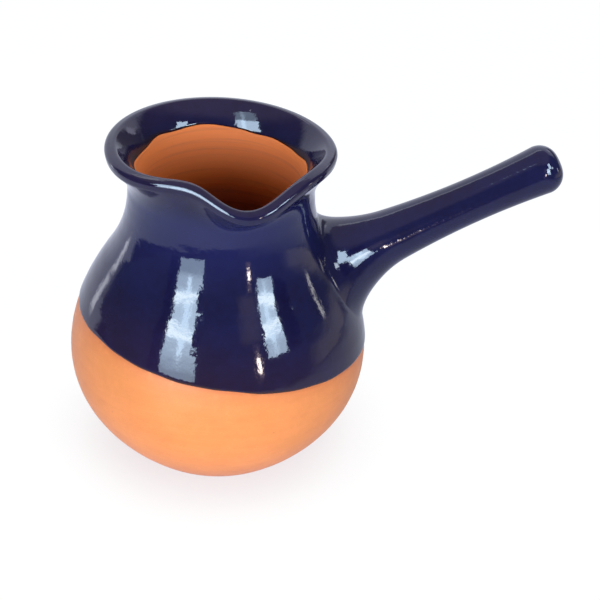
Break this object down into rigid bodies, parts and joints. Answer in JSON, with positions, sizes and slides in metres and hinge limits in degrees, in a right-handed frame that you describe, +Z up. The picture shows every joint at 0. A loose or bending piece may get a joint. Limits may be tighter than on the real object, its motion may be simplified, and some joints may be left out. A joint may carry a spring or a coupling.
{
  "type": "clay coffee pot",
  "caption": "Round-bellied clay coffee pot with a narrow neck, pinched pouring lip, dipped blue glaze over bare terracotta, and a hollow stick handle rising to one side.",
  "frame": {"origin": "middle of the flat foot, where the pot's axis meets the surface that it stands on", "axes": "+Z up along the pot's axis, +X towards the handle, -Y towards the spout"},
  "size_m": [0.1669, 0.1015, 0.1137],
  "materials": {
    "bare_clay": "matte",
    "slip": "matte",
    "blue_glaze": "gloss",
    "clear_glaze": "gloss"
  },
  "bodies": {
    "root": {"clay_body": "bare_clay", "clay_handle": "bare_clay", "luting_slip": "slip", "body_glaze": "blue_glaze", "handle_glaze": "blue_glaze", "liner_glaze": "clear_glaze"}
  },
  "joints": []
}
